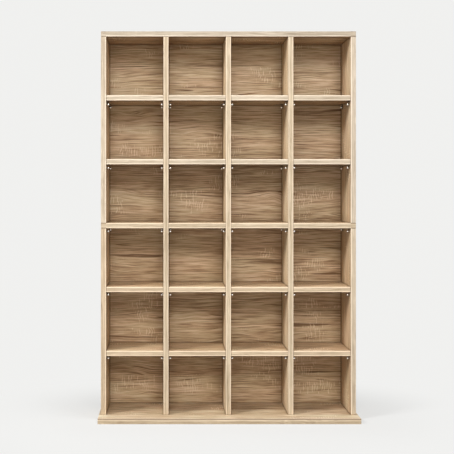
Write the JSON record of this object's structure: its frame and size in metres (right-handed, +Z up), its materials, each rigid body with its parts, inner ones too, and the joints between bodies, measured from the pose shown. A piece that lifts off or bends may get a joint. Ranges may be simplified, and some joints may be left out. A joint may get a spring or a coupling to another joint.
{
  "type": "cubby shelf",
  "caption": "Tall open cubby shelf of square cells in oak-look laminated board, with a jutting base panel, a thin back and loose shelves on metal supports.",
  "frame": {"origin": "centre of the footprint, on the floor under the base panel", "axes": "+Z up, the open front faces -Y, +X to the right of someone who looks at the front"},
  "size_m": [0.884, 0.2172, 1.326],
  "materials": {
    "carcass_board": "oak-look laminate, satin, pale edge band",
    "shelf_board": "oak-look laminate, satin, pale edge band",
    "back_sheet": "printed oak-look fibreboard, satin",
    "screw_steel": "zinc plated",
    "dowel_beech": "bare beech"
  },
  "bodies": {
    "carcass": {"base_panel": "carcass_board", "top_panel": "carcass_board", "middle_panel": "carcass_board", "left_side_lower": "carcass_board", "left_side_upper": "carcass_board", "right_side_lower": "carcass_board", "right_side_upper": "carcass_board", "divider_1": "carcass_board", "divider_2": "carcass_board", "divider_3": "carcass_board", "back_sheet_lower": "back_sheet", "back_sheet_upper": "back_sheet", "base_screw_1_front": "screw_steel", "base_screw_1_rear": "screw_steel", "base_screw_2_front": "screw_steel", "base_screw_2_rear": "screw_steel", "base_screw_3_front": "screw_steel", "base_screw_3_rear": "screw_steel", "base_screw_4_front": "screw_steel", "base_screw_4_rear": "screw_steel", "base_screw_5_front": "screw_steel", "base_screw_5_rear": "screw_steel", "top_screw_1_front": "screw_steel", "top_screw_1_rear": "screw_steel", "top_screw_2_front": "screw_steel", "top_screw_2_rear": "screw_steel", "top_screw_3_front": "screw_steel", "top_screw_3_rear": "screw_steel", "top_screw_4_front": "screw_steel", "top_screw_4_rear": "screw_steel", "top_screw_5_front": "screw_steel", "top_screw_5_rear": "screw_steel", "side_dowel_left_front": "dowel_beech", "side_dowel_left_rear": "dowel_beech", "side_dowel_right_front": "dowel_beech", "side_dowel_right_rear": "dowel_beech"},
    "shelf_level1_col1": {"shelf_level1_col1": "shelf_board"},
    "shelf_level1_col2": {"shelf_level1_col2": "shelf_board"},
    "shelf_level1_col3": {"shelf_level1_col3": "shelf_board"},
    "shelf_level1_col4": {"shelf_level1_col4": "shelf_board"},
    "shelf_level2_col1": {"shelf_level2_col1": "shelf_board"},
    "shelf_level2_col2": {"shelf_level2_col2": "shelf_board"},
    "shelf_level2_col3": {"shelf_level2_col3": "shelf_board"},
    "shelf_level2_col4": {"shelf_level2_col4": "shelf_board"},
    "shelf_level4_col1": {"shelf_level4_col1": "shelf_board"},
    "shelf_level4_col2": {"shelf_level4_col2": "shelf_board"},
    "shelf_level4_col3": {"shelf_level4_col3": "shelf_board"},
    "shelf_level4_col4": {"shelf_level4_col4": "shelf_board"},
    "shelf_level5_col1": {"shelf_level5_col1": "shelf_board"},
    "shelf_level5_col2": {"shelf_level5_col2": "shelf_board"},
    "shelf_level5_col3": {"shelf_level5_col3": "shelf_board"},
    "shelf_level5_col4": {"shelf_level5_col4": "shelf_board"}
  },
  "joints": [
    {"name": "shelf_level1_col1_draw", "type": "slide", "parent": "carcass", "child": "shelf_level1_col1", "axis": [0, -1, 0], "range_m": [0, 0.162]},
    {"name": "shelf_level1_col2_draw", "type": "slide", "parent": "carcass", "child": "shelf_level1_col2", "axis": [0, -1, 0], "range_m": [0, 0.162]},
    {"name": "shelf_level1_col3_draw", "type": "slide", "parent": "carcass", "child": "shelf_level1_col3", "axis": [0, -1, 0], "range_m": [0, 0.162]},
    {"name": "shelf_level1_col4_draw", "type": "slide", "parent": "carcass", "child": "shelf_level1_col4", "axis": [0, -1, 0], "range_m": [0, 0.162]},
    {"name": "shelf_level2_col1_draw", "type": "slide", "parent": "carcass", "child": "shelf_level2_col1", "axis": [0, -1, 0], "range_m": [0, 0.162]},
    {"name": "shelf_level2_col2_draw", "type": "slide", "parent": "carcass", "child": "shelf_level2_col2", "axis": [0, -1, 0], "range_m": [0, 0.162]},
    {"name": "shelf_level2_col3_draw", "type": "slide", "parent": "carcass", "child": "shelf_level2_col3", "axis": [0, -1, 0], "range_m": [0, 0.162]},
    {"name": "shelf_level2_col4_draw", "type": "slide", "parent": "carcass", "child": "shelf_level2_col4", "axis": [0, -1, 0], "range_m": [0, 0.162]},
    {"name": "shelf_level4_col1_draw", "type": "slide", "parent": "carcass", "child": "shelf_level4_col1", "axis": [0, -1, 0], "range_m": [0, 0.162]},
    {"name": "shelf_level4_col2_draw", "type": "slide", "parent": "carcass", "child": "shelf_level4_col2", "axis": [0, -1, 0], "range_m": [0, 0.162]},
    {"name": "shelf_level4_col3_draw", "type": "slide", "parent": "carcass", "child": "shelf_level4_col3", "axis": [0, -1, 0], "range_m": [0, 0.162]},
    {"name": "shelf_level4_col4_draw", "type": "slide", "parent": "carcass", "child": "shelf_level4_col4", "axis": [0, -1, 0], "range_m": [0, 0.162]},
    {"name": "shelf_level5_col1_draw", "type": "slide", "parent": "carcass", "child": "shelf_level5_col1", "axis": [0, -1, 0], "range_m": [0, 0.162]},
    {"name": "shelf_level5_col2_draw", "type": "slide", "parent": "carcass", "child": "shelf_level5_col2", "axis": [0, -1, 0], "range_m": [0, 0.162]},
    {"name": "shelf_level5_col3_draw", "type": "slide", "parent": "carcass", "child": "shelf_level5_col3", "axis": [0, -1, 0], "range_m": [0, 0.162]},
    {"name": "shelf_level5_col4_draw", "type": "slide", "parent": "carcass", "child": "shelf_level5_col4", "axis": [0, -1, 0], "range_m": [0, 0.162]}
  ]
}
